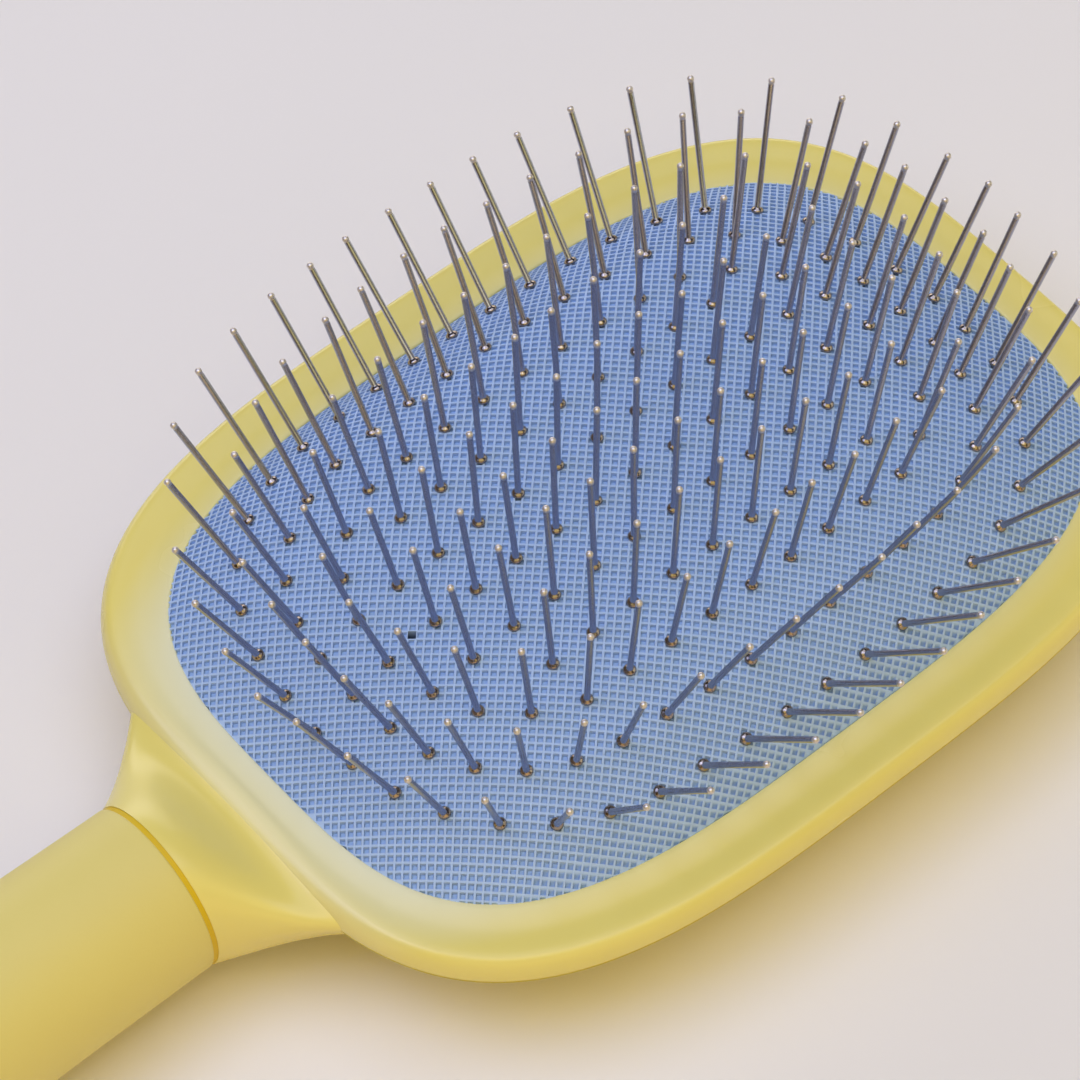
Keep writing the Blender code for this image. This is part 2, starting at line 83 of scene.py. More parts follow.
EDGE_Z = RIM_HIGH.z - RIM_CREST
HEAD_CENTRE = Vector((HEAD_X, 0.0, EDGE_Z))
HEAD_HALF = ((RIM_HIGH.x - RIM_LOW.x) / 2, (RIM_HIGH.y - RIM_LOW.y) / 2)
PAD_HALF = (
    (SKIRT_HIGH.x - SKIRT_LOW.x) / 2 - FLANGE_REACH,
    (SKIRT_HIGH.y - SKIRT_LOW.y) / 2 - FLANGE_REACH,
)
AXIS_Z = (SLEEVE_LOW.z + SLEEVE_HIGH.z) / 2
AXIS_DROP = EDGE_Z - AXIS_Z
SLEEVE_RADIUS = (SLEEVE_HIGH.z - SLEEVE_LOW.z) / 2
RING_RADIUS = (RING_HIGH.z - RING_LOW.z) / 2

BODY = "brush_body"
RING_BODIES = ("middle_row", "first_ring", "second_ring", "third_ring", "fourth_ring", "fifth_ring")
RING_NODES = ("pin_row_middle",) + tuple("pin_ring_%d" % n for n in range(1, 6))


def length(name, millimetres, description):
    return FloatProperty(name=name, description=description, default=millimetres * MM,
                         unit="LENGTH", precision=5)


def number(name, default, description):
    return FloatProperty(name=name, description=description, default=default)


def degrees(name, default, description):
    return FloatProperty(name=name, description=description, default=math.radians(default),
                         subtype="ANGLE")


def power(name, default, description):
    return FloatProperty(name=name, description=description, default=default, min=0.0)


def colour(name, default, description):
    return FloatVectorProperty(name=name, description=description, default=default, size=3,
                               subtype="COLOR", min=0.0, max=1.0)


class RimSettings(PropertyGroup):
    squareness: number("Squareness", 3.35, "Superellipse exponent of the head's outline")
    lip_depth: length("Lip depth", 1.6, "Thickness of the lip over the cushion's flange")
    lip_round: length("Lip rounding", 0.35, "Rounding of the lip beside the cushion")
    crest_share: number("Crest", 0.82, "Where the rim starts to fall away, of its width")
    crest_neck: number("Crest at neck", 0.55, "The same at the middle of the neck")
    hollow_sides: length("Hollow at sides", 0.28, "How far the band dips before its crest")
    hollow_ends: length("Hollow at ends", 0.15, "The same at the ends of the head")
    hollow_share: number("Hollow", 0.40, "Where the dip is deepest, of the rim's width")
    parting: length("Parting", 3.2, "Depth of the joint with the back shell")
    wall: length("Wall", 2.0, "Thickness of the rim's outer wall")
    # Beside the cushion the lip is tinted: along the sides the blue flange shows through it, and at
    # the neck's end the tint is mostly a painted reflection of a window on the flat band.
    show_sides: length("Tint reach at sides", 4.5, "How far out the flange tints the lip")
    show_neck: length("Tint reach at neck", 10.0, "The same at the neck's end of the head")
    tint_sides: number("Tint at sides", 0.3, "How strongly the flange shows there; 1 at the neck")
    colour: colour("Colour", (0.828, 0.698, 0.188), "Satin yellow of rim, shell and neck")
    deep: colour("Deep colour", (0.822, 0.692, 0.182), "Colour of its slight mottling")
    # Colour of that tint: partly the flange showing through the lip, partly a painted reflection at
    # the neck's end.
    painted_reflection_and_flange_colour: colour("Tint", (0.80, 0.79, 0.56), "Colour of the lip over the blue flange")


class ShellSettings(PropertyGroup):
    wall: length("Wall", 2.0, "Wall of the shell")
    floor: length("Floor", 2.6, "Thickness of the flat back")
    neck_half_width: length("Neck root", 20.7, "Half width of the neck at the rim")
    neck_top: length("Neck top", 0.40, "Depth of the neck's root on the rim")
    neck_bottom: length("Neck bottom", 14.0, "Depth of the neck's root on the back")
    neck_radius: length("Neck radius", 11.45, "Radius of the neck at the handle")


class HandleSettings(PropertyGroup):
    edge: length("Edge", 0.3, "Rounding of the sleeve's mouth")
    wall: length("Wall", 3.0, "Wall of the sleeve")
    cap_end: length("Cap end", 5.0, "Radius of the flat at the handle's end")
    colour: colour("Colour", (0.77, 0.65, 0.19), "Matte yellow of the grip")
    deep: colour("Deep colour", (0.74, 0.61, 0.17), "Colour of its slight mottling")
    seam: colour("Seam colour", (0.70, 0.47, 0.0), "Deep yellow of the ring in the seam")
    inner: colour("Inner colour", (0.80, 0.80, 0.78), "White of the hidden parts")


class CushionSettings(PropertyGroup):
    squareness: number("Squareness", 3.5, "Superellipse exponent of the cushion's edge")
    crown: length("Crown", 10.6, "Height of the cushion in the middle")
    shoulder: number("Shoulder", 4.2, "Exponent: how late the crown falls away to the edge")
    end_loss: number("End loss", 0.32, "How much lower the crown is at the ends")
    thickness: length("Thickness", 2.0, "Thickness of the rubber")
    tuck: number("Tuck", 0.006, "How far the rubber runs on past its edge")
    cell: length("Cell", 1.04, "Pitch of the pressed square grid")
    ridge: number("Ridge", 0.26, "Width of the ridges, of the pitch")
    slope: number("Slope", 0.08, "Width of a dimple's sloping side, of the pitch")
    dimple: length("Dimple", 0.45, "Depth of the dimples")
    colour: colour("Colour", (0.43, 0.575, 0.82), "Blue of the rubber")
    # Painted shade: the darker blue on the dimples' floors stands in for the shade in the recesses.
    deep: colour("Dimple colour", (0.30, 0.45, 0.71), "Blue in the dimples")
    # Painted shade: the navy underside darkens the air hole's walls towards its depth.
    under: colour("Underside colour", (0.0, 0.02, 0.08), "Navy of the air hole's depth")
    vent: length("Vent", -35.6, "Place of the air hole along the head")
    vent_aside: length("Vent aside", 0.9, "Place of the air hole across the head")
    press_keep: number("Pressed", 0.596, "Share of its height left when fully pressed")


class PinSettings(PropertyGroup):
    margin_ends: length("Margin at ends", 6.3, "From the cushion's edge to the outer pins")
    margin_sides: length("Margin at sides", 3.6, "The same at the long sides")
    height: length("Length", 18.9, "From the cushion to the tip")
    radius: length("Radius", 0.405, "Half the shaft's thickness")
    tip_radius: length("Tip radius", 0.465, "Radius of the ball at the tip")
    collar_radius: length("Collar radius", 0.86, "Radius of the flattened ball at the foot")
    collar_height: length("Collar height", 0.55, "Half the flattened ball's height")
    collar_lift: length("Collar lift", 0.15, "Height of the ball's middle over the rubber")
    foot: length("Foot", 1.6, "Length rooted in the rubber")
    lean: number("Lean", 1.09, "Lean over the slope of the cushion")
    stray: degrees("Stray", 0.7, "How far single pins stray from true")
    facets: IntProperty(name="Facets", description="Sides of a pin", default=12)
    # The blue tint of the plate colour is a painted reflection of the blue cushion.
    colour: colour("Colour", (0.40, 0.405, 0.49), "Dark nickel plate")
    # Painted shade and dark reflection: the collars' darker brown stands in for the dark
    # reflections and shade at the pins' feet.
    collar_painted_shade_colour: colour("Collar colour", (0.36, 0.30, 0.26), "Browned plate of the collars")
    tip_colour: colour("Tip colour", (0.72, 0.66, 0.61), "Bright ball at the tip")


class StageSettings(PropertyGroup):
    floor_size: length("Floor", 1300.0, "Across the round floor")
    floor: colour("Floor colour", (0.857, 0.815, 0.78), "Pale warm white")
    aim: FloatVectorProperty(name="Aim", description="Place looked at, from the head's centre",
                             default=(-11.9 * MM, 6.3 * MM, 0.0), subtype="TRANSLATION")
    distance: length("Distance", 589.2, "From the camera to what it looks at")
    azimuth: degrees("Azimuth", 50.17, "Plan direction that the camera looks in")
    elevation: degrees("Elevation", 54.42, "Height of the camera over the horizon")
    roll: degrees("Roll", -0.81, "Tilt of the camera about its own axis")
    lens: number("Lens", 157.7, "Focal length on a 36 mm sensor, in millimetres")
    shift_x: number("Shift X", 0.0102, "Sideways shift of the picture")
    shift_y: number("Shift Y", 0.0032, "Upward shift of the picture")
    key: power("Key light", 8.6, "Power of the soft light overhead")
    key_colour: colour("Key colour", (0.74, 0.79, 1.0), "Sky light from above")
    side: power("Side window", 5.1, "Power of the side window")
    side_colour: colour("Side colour", (0.49, 0.58, 1.0), "Sky light from the side window")
    warm: power("Warm light", 5.8, "Power of the lamp behind the camera")
    warm_colour: colour("Warm colour", (1.0, 0.84, 0.32), "Warm light of the lamp")
    far: power("Far reflector", 5.6, "Power of the card beyond the brush")
    far_colour: colour("Far colour", (1.0, 0.95, 0.92), "White card beyond the brush")
    near: power("Near reflector", 2.4, "Power of the card before the brush")
    near_colour: colour("Near colour", (1.0, 0.74, 0.38), "Golden card before the brush")
    right: power("Right reflector", 2.7, "Power of the card at the head's side")
    right_colour: colour("Right colour", (0.97, 1.0, 0.77), "Pale card at the head's side")
    fill: power("Room light", 1.0, "Strength of the room's own light")
    low_room: colour("Low room", (0.20, 0.12, 0.04), "Golden brown of the room near the floor")
    high_room: colour("High room", (0.0, 0.0, 0.0), "Darkness of the room overhead")
    wall: colour("Wall", (0.72, 0.685, 0.655), "Plain wall that the camera sees beyond the floor")


# Meshes

SHARP_ANGLE = 35.0  # in degrees; edges that turn by more than this stay sharp


def add_mesh(name, points, faces, smooth_angle=SHARP_ANGLE):
    """A new smoothly shaded object in the scene."""
    mesh = bpy.data.meshes.new(name)
    mesh.from_pydata([tuple(p) for p in points], [], faces)
    mesh.update()
    mesh.shade_smooth()
    mesh.set_sharp_from_angle(angle=math.radians(smooth_angle))
    thing = bpy.data.objects.new(name, mesh)
    bpy.context.scene.collection.objects.link(thing)
    return thing


def face_outwards(thing):
    """Turn every face so that its front is outside."""
    bm = bmesh.new()
    bm.from_mesh(thing.data)
    bmesh.ops.recalc_face_normals(bm, faces=bm.faces)
    bm.to_mesh(thing.data)
    bm.free()
    return thing


def loops_mesh(name, loops, ring=False):
    """Quads from each loop to the next; a ring closes on its first loop, others get two ends."""
    count = len(loops[0])
    points = [p for loop in loops for p in loop]
    faces = []
    last = len(loops) if ring else len(loops) - 1
    for n in range(last):
        a, b = n * count, (n + 1) % len(loops) * count
        for k in range(count):
            following = (k + 1) % count
            faces.append((a + k, a + following, b + following, b + k))
    if not ring:
        faces.append(tuple(range(count))[::-1])
        faces.append(tuple(range(len(points) - count, len(points))))
    return face_outwards(add_mesh(name, points, faces))


def mark(thing, name, values):
    """Give each vertex a number that the materials read under that name."""
    layer = thing.data.attributes.new(name, "FLOAT", "POINT")
    layer.data.foreach_set("value", np.array(values, np.float32))


def full_turn(count):
    """Even angles all round."""
    return [2 * math.pi * k / count for k in range(count)]


def quarter_turn(steps, first=0):
    """Even angles up to a right angle; the first few may be left out."""
    return [math.pi / 2 * k / steps for k in range(first, steps + 1)]


def outline(half, squareness, count):
    """Points of a superellipse at even angles round its centre."""
    points = []
    for angle in full_turn(count):
        c, s = math.cos(angle), math.sin(angle)
        total = (abs(c) / half[0]) ** squareness + (abs(s) / half[1]) ** squareness
        reach = total ** (-1 / squareness)
        points.append((c * reach, s * reach))
    return points


def pad_reach(squareness, x, y):
    """How far out places lie, from 0 in the middle to 1 on the cushion's edge."""
    along, across = np.abs(x) / PAD_HALF[0], np.abs(y) / PAD_HALF[1]
    return (along ** squareness + across ** squareness) ** (1 / squareness)


def at_level(points, z):
    """The outline's points at a height over the cushion's edge."""
    return [Vector((HEAD_X + x, y, EDGE_Z + z)) for x, y in points]


def mix(a, b, t):
    return a + (b - a) * t


def smooth_through(points, steps):
    """A smooth curve through the points, with that many steps from each to the next."""
    points = np.array(points)
    before, after = 2 * points[0] - points[1], 2 * points[-1] - points[-2]
    padded = np.concatenate([[before], points, [after]])
    made = []
    for p0, p1, p2, p3 in zip(padded, padded[1:], padded[2:], padded[3:]):
        for t in np.arange(steps) / steps:
            made.append(0.5 * (2 * p1 + (p2 - p0) * t + (2 * p0 - 5 * p1 + 4 * p2 - p3) * t * t
                               + (3 * p1 - p0 - 3 * p2 + p3) * t ** 3))
    return made + [points[-1]]


# Rim

HEAD_FACETS = 240
BAND_STEPS = 12
FALL_STEPS = 12
LIP_STEPS = 4
NECK_BLEND = 32.0 * MM  # beside the neck's middle, where the rim's crest moves inwards
NECK_TINT_POWER = 5  # the higher, the more the neck's tint, a painted reflection, keeps to the middle


def ease(t):
    return t * t * (3 - 2 * t)


def crest_place(rim, x, y):
    """Where the rim starts to fall away there, as a share of its width; sooner beside the neck."""
    closeness = ease(max(1 - abs(y) / NECK_BLEND, 0.0)) if x < 0 else 0.0
    return mix(rim.crest_share, rim.crest_neck, closeness)


def rim_section(rim, crest, hollow=0.0):
    """The rim's top, as (share of its width, height), from the lip to the parting."""
    rounding = rim.lip_round / (HEAD_HALF[1] - PAD_HALF[1])
    points = [(rounding * (1 - math.cos(angle)), -rim.lip_round * (1 - math.sin(angle)))
              for angle in quarter_turn(LIP_STEPS)]
    for k in range(1, BAND_STEPS + 1):
        t = mix(rounding, crest, k / BAND_STEPS)
        if t < rim.hollow_share:
            z = -hollow * ease((t - rounding) / (rim.hollow_share - rounding))
        else:
            z = mix(-hollow, RIM_CREST, ease((t - rim.hollow_share) / (crest - rim.hollow_share)))
        points.append((t, z))
    drop = rim.parting - GAP / 2 + RIM_CREST
    for angle in quarter_turn(FALL_STEPS, 1):
        points.append((mix(crest, 1.0, math.sin(angle)), RIM_CREST - drop * (1 - math.cos(angle))))
    return points


def build_rim(rim):
    """The frame round the cushion; its section changes along the head's outline."""
    lip = outline([half + GAP for half in PAD_HALF], rim.squareness, HEAD_FACETS)
    edge = outline(HEAD_HALF, rim.squareness, HEAD_FACETS)
    inside = outline([half - rim.wall for half in HEAD_HALF], rim.squareness, HEAD_FACETS)
    sections = []
    for x, y in edge:
        hollow = mix(rim.hollow_ends, rim.hollow_sides, ease((y / HEAD_HALF[1]) ** 2))
        sections.append(rim_section(rim, crest_place(rim, x, y), hollow))
    loops = [at_level(lip, -rim.lip_depth)]
    for n in range(len(sections[0])):
        loop = []
        for a, b, section in zip(lip, edge, sections):
            t, z = section[n]
            loop.append(Vector((HEAD_X + mix(a[0], b[0], t), mix(a[1], b[1], t), EDGE_Z + z)))
        loops.append(loop)
    loops += [at_level(inside, -rim.parting + GAP / 2), at_level(inside, -rim.lip_depth)]
    thing = loops_mesh("rim_moulding", loops, ring=True)
    # Mark the tint: the flange showing through beside the cushion, and the painted reflection at
    # the neck's end.
    mark(thing, "over_flange", [painted_reflection_and_flange_tint(rim, v.co) for v in thing.data.vertices])
    return thing


def painted_reflection_and_flange_tint(rim, point):
    """How strongly the lip is tinted at a point of the rim, from 0 to 1: beside the cushion the
    blue flange shows through it, and at the neck's end the tint is a painted reflection of a window
    on the band.
    """
    x, y = point.x - HEAD_X, point.y
    reach = pad_reach(rim.squareness, x, y)
    distance = max(1 - 1 / reach, 0.0) * math.hypot(x, y)
    along = min(abs(x) / PAD_HALF[0] / reach, 1.0)
    endways = ease(along ** NECK_TINT_POWER) if x < 0 else 0.0
    fade = max(1 - distance / mix(rim.show_sides, rim.show_neck, endways), 0.0)
    return fade * mix(rim.tint_sides, 1.0, endways)


# Shell and neck

# the bowl from its mouth to its flat back: (share of the head's half width, share of the depth)
BOWL_SHARES = (
    (1.0, 0.0), (0.979, 0.12), (0.932, 0.38), (0.865, 0.66),
    (0.775, 0.87), (0.68, 0.975), (0.61, 1.0),
)
BOWL_STEPS = 6
BOWL_INNER_STEPS = 3
BOWL_LOOKUP_STEPS = 8


def bowl_half(size, down):
    """Half sizes of the bowl's outline; near its mouth the ends draw in no more than the sides."""
    ends = 1 - (1 - size) * mix(HEAD_HALF[1] / HEAD_HALF[0], 1.0, down)
    return (HEAD_HALF[0] * ends, HEAD_HALF[1] * size)


def bowl_loops(rim, wall, floor, steps):
    """The bowl's outlines from its mouth down, drawn in by a wall and raised by a floor."""
    mouth = -rim.parting - GAP / 2
    loops = []
    for size, down in smooth_through(BOWL_SHARES, steps):
        half = [h - wall for h in bowl_half(size, down)]
        z = mouth - (EDGE_Z + mouth - floor) * down
        loops.append(at_level(outline(half, rim.squareness, HEAD_FACETS), z))
    return loops


def build_bowl(rim, shell):
    outer = bowl_loops(rim, 0.0, 0.0, BOWL_STEPS)
    inner = bowl_loops(rim, shell.wall, shell.floor, BOWL_INNER_STEPS)
    return loops_mesh("shell_moulding", inner[::-1] + outer)


def head_half(rim, y, z):
    """Half sizes of the head's outline beside the neck, at a height over the cushion's edge."""
    if z < -rim.parting:
        curve = np.array(smooth_through(BOWL_SHARES, BOWL_LOOKUP_STEPS))
        down = (-rim.parting - z) / (EDGE_Z - rim.parting)
        return bowl_half(float(np.interp(down, curve[:, 1], curve[:, 0])), down)
    crest = crest_place(rim, -HEAD_HALF[0], y)
    fall = np.array(rim_section(rim, crest)[LIP_STEPS + BAND_STEPS:])[::-1]
    outwards = float(np.interp(z, fall[:, 1], fall[:, 0]))
    return [mix(pad + GAP, head, outwards) for pad, head in zip(PAD_HALF, HEAD_HALF)]


NECK_FACETS = 96
NECK_STEPS = 28
NECK_EMBED = 0.25 * MM  # how deep the neck's root sits in the head
NECK_SQUARENESS = 2.6
NECK_END_SHRINK = 0.08
NECK_END_DEPTH = 1.0 * MM
# how far the neck's lines keep their direction, at the joint and at the root: top, side, bottom
NECK_PULL_AT_JOINT = (5.5 * MM, 4.5 * MM, 6.0 * MM)
NECK_PULL_AT_ROOT = (4.0 * MM, 4.5 * MM, 6.0 * MM)
# how the lines spread at the joint: sideways, upwards at the top, upwards at the bottom
JOINT_FLARE = (0.5, -0.1, 0.08)
ROOT_DIRECTION_TOP = (0.86, 0.0, 0.51)
ROOT_DIRECTION_SIDE = (0.69, 0.72, 0.0)
ROOT_DIRECTION_BOTTOM = (0.75, 0.0, -0.66)


def curve_points(controls, steps):
    """Points along the cubic curve that runs from the first of four controls to the last."""
    line = []
    for k in range(steps + 1):
        t = k / steps
        u = 1 - t
        line.append(controls[0] * u ** 3 + controls[1] * 3 * u * u * t
                    + controls[2] * 3 * u * t * t + controls[3] * t ** 3)
    return line


def neck_root(rim, shell, c, s):
    """End on the head of the neck's line with this cosine and sine, from the head's centre."""
    exponent = 2 / NECK_SQUARENESS
    y = math.copysign(abs(s) ** exponent, s) * shell.neck_half_width
    depth = shell.neck_top if c > 0 else shell.neck_bottom
    z = mix(-rim.parting, -depth, abs(c) ** exponent)
    half = [size - NECK_EMBED for size in head_half(rim, y, z)]
    x = -half[0] * max(1 - (abs(y) / half[1]) ** rim.squareness, 0.0) ** (1 / rim.squareness)
    return Vector((x, y, z))


def root_direction(s, top, side, bottom):
    """Direction in which a neck's line runs into the head, blended from top, side and bottom."""
    turn = Vector(ROOT_DIRECTION_TOP) * top + Vector(ROOT_DIRECTION_BOTTOM) * bottom
    turn += Vector((ROOT_DIRECTION_SIDE[0], math.copysign(ROOT_DIRECTION_SIDE[1], s), 0.0)) * side
    return turn.normalized()


def neck_line(rim, shell, angle):
    """One line of the neck, from the joint to its root on the head; angle 0 is its top."""
    c, s = math.cos(angle), math.sin(angle)
    shares = top, side, bottom = max(c, 0.0) ** 2, s * s, max(-c, 0.0) ** 2
    start = Vector((RING_HIGH.x - HEAD_X, shell.neck_radius * s, shell.neck_radius * c - AXIS_DROP))
    end = neck_root(rim, shell, c, s)
    sideways, at_top, at_bottom = JOINT_FLARE
    flare = Vector((1.0, sideways * s, at_top * top + at_bottom * bottom)).normalized()
    first = sum(share * pull for share, pull in zip(shares, NECK_PULL_AT_JOINT))
    second = sum(share * pull for share, pull in zip(shares, NECK_PULL_AT_ROOT))
    turn = root_direction(s, top, side, bottom)
    return curve_points((start, start + flare * first, end - turn * second, end), NECK_STEPS)


def build_neck(rim, shell):
    """The neck: lines from the joint to the head, closed by a smaller end sunk in the head."""
    lines = [neck_line(rim, shell, angle) for angle in full_turn(NECK_FACETS)]
    loops = [[line[n] + HEAD_CENTRE for line in lines] for n in range(NECK_STEPS + 1)]
    middle = sum(loops[-1], Vector()) / NECK_FACETS
    inwards = Vector((NECK_END_DEPTH, 0.0, 0.0))
    loops.append([mix(p, middle, NECK_END_SHRINK) + inwards for p in loops[-1]])
    return loops_mesh("neck_moulding", loops)


# Handle

HANDLE_FACETS = 128
# the grip's swelling: (share of its length, share of its growth in radius)
SLEEVE_SHARES = (
    (0.0, 0.0), (0.04, 0.01), (0.22, 0.15), (0.42, 0.38),
    (0.62, 0.72), (0.80, 0.97), (0.90, 1.0), (1.0, 0.90),
)
SWELL_STEPS = 5
SWELL_FIRST = 3  # the curve's points before this lie in the rounded mouth
MOUTH_STEPS = 4
CAP_STEPS = 14
CAP_PLUG = 4.0 * MM  # how far the cap reaches into the sleeve
CAP_SEAM = GAP / 3
SEAM_ROUND = 0.15 * MM
SEAM_RISE = 0.35 * MM
SEAM_SPREAD = 0.2 * MM  # widens the ring on both sides, over the gaps beside it
SEAM_WALL = 3.6 * MM


def turned(radius, x):
    """A circle round the handle's axis."""
    return [Vector((x, radius * math.cos(a), AXIS_Z + radius * math.sin(a)))
            for a in full_turn(HANDLE_FACETS)]


def build_sleeve(shell, handle):
    """The grip: a tube with a rounded mouth that swells towards its end."""
    start, end = RING_LOW.x, SLEEVE_LOW.x
    bore = shell.neck_radius - handle.wall
    loops = [turned(bore, start)]
    for angle in quarter_turn(MOUTH_STEPS):
        loops.append(turned(shell.neck_radius - handle.edge * (1 - math.sin(angle)),
                            start - handle.edge * (1 - math.cos(angle))))
    for along, swell in smooth_through(SLEEVE_SHARES, SWELL_STEPS)[SWELL_FIRST:]:
        loops.append(turned(mix(shell.neck_radius, SLEEVE_RADIUS, swell), mix(start, end, along)))
    loops.append(turned(bore, end))
    return loops_mesh("grip_sleeve", loops, ring=True)


def build_seam_ring():
    outer = RING_RADIUS + SEAM_RISE
    inner = RING_RADIUS - SEAM_WALL
    start, end = RING_HIGH.x + SEAM_SPREAD, RING_LOW.x - SEAM_SPREAD
    section = (
        (inner, start), (outer - SEAM_ROUND, start), (outer, start - SEAM_ROUND),
        (outer, end + SEAM_ROUND), (outer - SEAM_ROUND, end), (inner, end),
    )
    return loops_mesh("seam_ring", [turned(*place) for place in section], ring=True)


def build_cap(shell, handle):
    """The handle's rounded end, with a plug in the sleeve."""
    outside = mix(shell.neck_radius, SLEEVE_RADIUS, SLEEVE_SHARES[-1][1])
    plug = shell.neck_radius - handle.wall - GAP
    start, end = SLEEVE_LOW.x - CAP_SEAM, CAP_LOW.x
    loops = [turned(plug, SLEEVE_LOW.x + CAP_PLUG), turned(plug, start)]
    for angle in quarter_turn(CAP_STEPS):
        loops.append(turned(mix(handle.cap_end, outside, math.cos(angle)),
                            mix(start, end, math.sin(angle))))
    return loops_mesh("grip_end", loops)


# Cushion

SPAN_MARGIN = 1.1  # half width of the lattice, of the cushion's half diagonal
SPARE_CELLS = 2
CROWN_SAMPLES = 400
PULLED_FROM = 0.5  # places nearer the middle than this share are never drawn in
LEAST_DIMPLED_CELL = 0.42  # border cells smaller than this share of a whole one stay flat
SKIN_SHARP_ANGLE = 50.0
CELL_CORNERS = ((0, 0), (1, 0), (1, 1), (0, 1))
CELL_NEIGHBOURS = ((0, -1), (1, 0), (0, 1), (-1, 0))


def crown(cushion, x, y):
    """Height of the cushion over its edge; x and y may be arrays."""
    reach = pad_reach(cushion.squareness, x, y)
    end_loss = cushion.end_loss * (np.abs(x) / PAD_HALF[0]) ** 2
    return cushion.crown * (1 - reach ** cushion.shoulder) * (1 - end_loss)


def over_crown(cushion, distance, axis):
    """Plan distance from the middle after going this far over the crown along an axis."""
    plan = np.linspace(0.0, PAD_HALF[axis], CROWN_SAMPLES)
    height = crown(cushion, plan * (1 - axis), plan * axis)
    gone = np.concatenate([[0.0], np.cumsum(np.hypot(np.diff(plan), np.diff(height)))])
    beyond = np.maximum(np.abs(distance) - gone[-1], 0.0)
    return np.sign(distance) * (np.interp(np.abs(distance), gone, plan) + beyond)


def lattice(cushion):
    """Crossings of the diagonal grid in plan, as a square array of x and one of y."""
    span = int(SPAN_MARGIN * math.hypot(*PAD_HALF) / cushion.cell) + SPARE_CELLS
    steps = (np.arange(2 * span + 1) - span) * cushion.cell
    u, v = np.meshgrid(steps, steps, indexing="ij")
    turn = math.sqrt(0.5)
    return over_crown(cushion, (u + v) * turn, 0), over_crown(cushion, (v - u) * turn, 1)


def kept_cells(cushion, x, y):
    """Which cells have a corner inside the cushion's edge, less the one that is the air hole."""
    inside = pad_reach(cushion.squareness, x, y) < 1
    kept = inside[:-1, :-1] | inside[1:, :-1] | inside[1:, 1:] | inside[:-1, 1:]
    middle_x = (x[:-1, :-1] + x[1:, 1:]) / 2
    middle_y = (y[:-1, :-1] + y[1:, 1:]) / 2
    vent = np.hypot(middle_x - cushion.vent, middle_y - cushion.vent_aside).argmin()
    kept[np.unravel_index(vent, kept.shape)] = False
    return kept


def cell_area(xs, ys, corner):
    """Plan area of each cell, from its diagonals."""
    first_x, first_y = xs[corner[0]] - xs[corner[2]], ys[corner[0]] - ys[corner[2]]
    second_x, second_y = xs[corner[1]] - xs[corner[3]], ys[corner[1]] - ys[corner[3]]
    return np.abs(first_x * second_y - second_x * first_y) / 2


def cell_squares(cushion, xs, ys, corner, sunk):
    """Eight points in each cell: a square inside its ridges, and one round its sunk floor."""
    squares = []
    half = cushion.ridge / 2
    for inset, depth in ((half, 0.0), (half + cushion.slope, cushion.dimple)):
        for di, dj in CELL_CORNERS:
            u, v = mix(inset, 1 - inset, di), mix(inset, 1 - inset, dj)
            weights = ((1 - u) * (1 - v), u * (1 - v), u * v, (1 - u) * v)
            px = sum(w * xs[k] for w, k in zip(weights, corner))
            py = sum(w * ys[k] for w, k in zip(weights, corner))
            squares.append(np.stack([px, py, crown(cushion, px, py) - depth * sunk], 1))
    return np.stack(squares, 1).reshape(-1, 3)


def skin_faces(kept, cells, corner, count):
    """Ridges, slopes, floor and underside of every cell, and a wall where no cell adjoins."""
    base = 2 * count + 8 * np.arange(len(cells))
    bordered = np.pad(kept, 1)
    faces = []
    for k in range(4):
        m = (k + 1) % 4
        faces.append(np.stack([corner[k], corner[m], base + m, base + k], 1))
        faces.append(np.stack([base + k, base + m, base + 4 + m, base + 4 + k], 1))
        di, dj = CELL_NEIGHBOURS[k]
        adjoined = bordered[cells[:, 0] + 1 + di, cells[:, 1] + 1 + dj]
        wall = np.stack([corner[m], corner[k], corner[k] + count, corner[m] + count], 1)
        faces.append(wall[~adjoined])
    faces.append(np.stack([base + 4, base + 5, base + 6, base + 7], 1))
    faces.append(np.stack(corner[::-1], 1) + count)
    return np.concatenate(faces).tolist()


def build_cushion(cushion):
    """The rubber skin: every cell of the diagonal grid has flat ridges round a sunk square."""
    x, y = lattice(cushion)
    kept = kept_cells(cushion, x, y)
    reach = pad_reach(cushion.squareness, x, y)
    pull = np.minimum((1 + cushion.tuck) / np.maximum(reach, PULLED_FROM), 1.0)
    cells = np.argwhere(kept)
    used = np.zeros(x.shape, bool)
    for di, dj in CELL_CORNERS:
        used[cells[:, 0] + di, cells[:, 1] + dj] = True
    count = int(used.sum())
    index = np.zeros(x.shape, int)
    index[used] = np.arange(count)
    corner = [index[cells[:, 0] + di, cells[:, 1] + dj] for di, dj in CELL_CORNERS]
    xs, ys = (x * pull)[used], (y * pull)[used]
    sunk = cell_area(xs, ys, corner) > LEAST_DIMPLED_CELL * cushion.cell ** 2
    top = np.stack([xs, ys, crown(cushion, xs, ys)], 1)
    bottom = top - np.array([0.0, 0.0, cushion.thickness])
    points = np.concatenate([top, bottom, cell_squares(cushion, xs, ys, corner, sunk)])
    points += np.array([HEAD_X, 0.0, EDGE_Z])
    faces = skin_faces(kept, cells, corner, count)
    thing = add_mesh("cushion_skin", points, faces, SKIN_SHARP_ANGLE)
    # The dimples' floors get painted shade through the sunk attribute.
    painted_dimple_shade = np.outer(sunk, [0, 0, 0, 0, 1, 1, 1, 1]).ravel()
    mark(thing, "sunk", np.concatenate([np.zeros(2 * count), painted_dimple_shade]))
    # The underside carries painted shade, seen only down the air hole.
    under = np.zeros(len(points))
    under[count:2 * count] = 1
    mark(thing, "under", under)
    return face_outwards(thing)


# Pins

MIDDLE_ROW_REACH = 3
ROW_REACH = 4
RING_COUNT = 5
